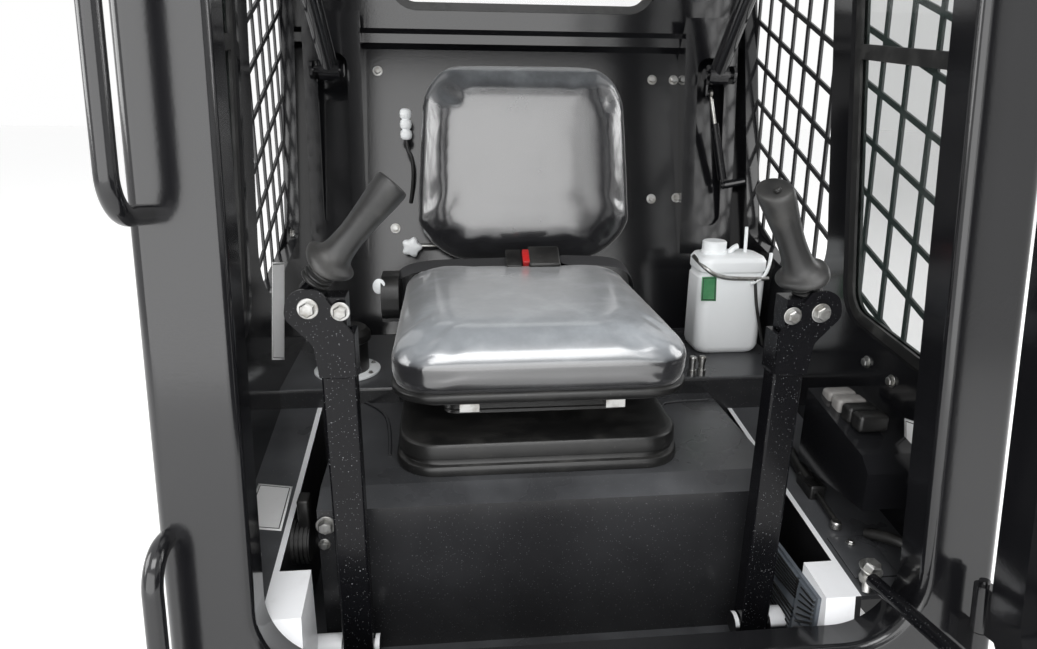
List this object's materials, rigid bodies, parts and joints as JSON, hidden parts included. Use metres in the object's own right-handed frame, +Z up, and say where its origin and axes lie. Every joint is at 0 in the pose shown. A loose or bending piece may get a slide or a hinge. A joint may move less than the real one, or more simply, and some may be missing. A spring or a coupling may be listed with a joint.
{
  "type": "skid steer loader operator's cab",
  "caption": "Operator's cab of a skid steer loader: hollow steel shell with guarded windows, sprung seat, drive levers, seat bar and open front door.",
  "frame": {"origin": "middle of the cab's base, on the floor it stands on, midway between the outer faces of the side walls and level with y = 0 of the seat's rails", "axes": "+X to the right as seen from the open front, +Y into the cab, +Z up"},
  "size_m": [1.015, 1.8828, 1.512],
  "materials": {
    "cab_paint": "satin black enamel over pressed steel",
    "roof_paint": "satin black enamel",
    "white_plate": "gloss white enamel",
    "mesh_paint": "satin black enamel on flat bar",
    "window_glass": "clear toughened pane",
    "window_seal": "black rubber profile",
    "seat_vinyl": "gloss black vinyl over foam",
    "seat_plastic": "black moulded plastic",
    "rail_steel": "zinc plated steel",
    "webbing": "woven black webbing",
    "buckle": "black buckle shell",
    "knob_white": "white moulded plastic",
    "lever_paint": "satin black enamel on square tube",
    "grip_rubber": "moulded dark rubber",
    "strut_paint": "gloss black cylinder",
    "strut_rod": "hard chromed rod",
    "bottle_plastic": "milky translucent plastic",
    "cup_plastic": "grey moulded plastic",
    "vent_plastic": "dark grey moulded plastic",
    "switch_plastic": "grey and black rockers"
  },
  "bodies": {
    "cab": {"front_sill": "cab_paint", "front_header": "cab_paint", "front_post_left": "cab_paint", "front_post_right": "cab_paint", "rear_wall": "cab_paint", "rear_glass": "window_glass", "rear_seal": "window_seal", "roof": "roof_paint", "floor_pan": "cab_paint", "rear_shelf": "cab_paint", "footwell_plate_left": "white_plate", "footwell_plate_right": "white_plate", "side_shelf_left": "cab_paint", "side_shelf_right": "cab_paint", "seat_box": "cab_paint", "seat_suspension": "seat_plastic", "seat_rails": "rail_steel", "side_wall_left": "cab_paint", "side_wall_right": "cab_paint", "side_glass_left": "window_glass", "side_glass_right": "window_glass", "side_seal_left": "window_seal", "side_seal_right": "window_seal", "side_mesh_left": "mesh_paint", "side_mesh_right": "mesh_paint", "bar_bracket_left": "cab_paint", "bar_bracket_right": "cab_paint", "door_hinges": "cab_paint", "switch_console": "seat_plastic", "rocker_switches": "switch_plastic", "washer_bottle": "bottle_plastic", "fluid_cup": "cup_plastic", "grab_rails": "cab_paint", "throttle_lever": "cab_paint", "footwell_duct_left": "white_plate", "footwell_duct_right": "white_plate", "footwell_vents": "vent_plastic", "linkage_boot": "window_seal"},
    "seat": {"seat_frame": "cab_paint", "seat_cushion": "seat_vinyl", "seat_back": "seat_vinyl", "seat_belt": "webbing", "belt_buckle": "buckle", "belt_reel": "seat_plastic", "recline_knob": "knob_white"},
    "lever_left": {"lever_arm_left": "lever_paint", "lever_grip_left": "grip_rubber"},
    "lever_right": {"lever_arm_right": "lever_paint", "lever_grip_right": "grip_rubber"},
    "seat_bar": {"seat_bar": "lever_paint"},
    "bar_strut_tube": {"bar_strut_barrel": "strut_paint"},
    "bar_strut_piston": {"bar_strut_rod": "strut_rod"},
    "door": {"door_frame": "cab_paint", "door_glass": "window_glass", "door_handle": "seat_plastic", "door_wiper": "seat_plastic"},
    "door_strut_tube": {"door_strut_barrel": "strut_paint"},
    "door_strut_piston": {"door_strut_rod": "strut_rod"}
  },
  "joints": [
    {"name": "door_hinge", "type": "hinge", "parent": "cab", "child": "door", "pos_m": [0.458, -0.3586, 0.76585], "axis": [0, 0.1392, 0.9903], "range_deg": [-90, 0]},
    {"name": "door_strut_pivot", "type": "hinge", "parent": "cab", "child": "door_strut_tube", "pos_m": [0.366, -0.35048, 0.17699], "axis": [0, 0.1392, 0.9903], "range_deg": [-90.72, 0.5]},
    {"name": "door_strut_slide", "type": "slide", "parent": "door_strut_tube", "child": "door_strut_piston", "axis": [0.0038, -0.9903, 0.1392], "range_m": [-0.183, 0.001]},
    {"name": "seat_bar_hinge", "type": "hinge", "parent": "cab", "child": "seat_bar", "pos_m": [0, 0.45, 0.815], "axis": [1, 0, 0], "range_deg": [0, 70]},
    {"name": "bar_strut_pivot", "type": "hinge", "parent": "cab", "child": "bar_strut_tube", "pos_m": [0.428, 0.432, 0.588], "axis": [-0.9412, 0.2592, -0.2165], "range_deg": [-0.2, 6.1]},
    {"name": "bar_strut_slide", "type": "slide", "parent": "bar_strut_tube", "child": "bar_strut_piston", "axis": [-0.1842, 0.1433, 0.9724], "range_m": [-0.001, 0.03908]},
    {"name": "lever_left_pivot", "type": "hinge", "parent": "cab", "child": "lever_left", "pos_m": [-0.306, -0.28, 0.052], "axis": [1, 0, 0], "range_deg": [-8, 8]},
    {"name": "lever_right_pivot", "type": "hinge", "parent": "cab", "child": "lever_right", "pos_m": [0.25, -0.28, 0.052], "axis": [1, 0, 0], "range_deg": [-8, 8]},
    {"name": "seat_slide", "type": "slide", "parent": "cab", "child": "seat", "axis": [0, 1, 0], "range_m": [-0.08, 0.03]}
  ],
  "couplings": [
    {"joint": "door_strut_pivot", "follows": "door_hinge", "ratio": 1.0024},
    {"joint": "door_strut_slide", "follows": "door_hinge", "m_per_rad": 0.11587},
    {"joint": "bar_strut_pivot", "follows": "seat_bar_hinge", "ratio": 0.08423},
    {"joint": "bar_strut_slide", "follows": "seat_bar_hinge", "m_per_rad": 0.031173}
  ]
}
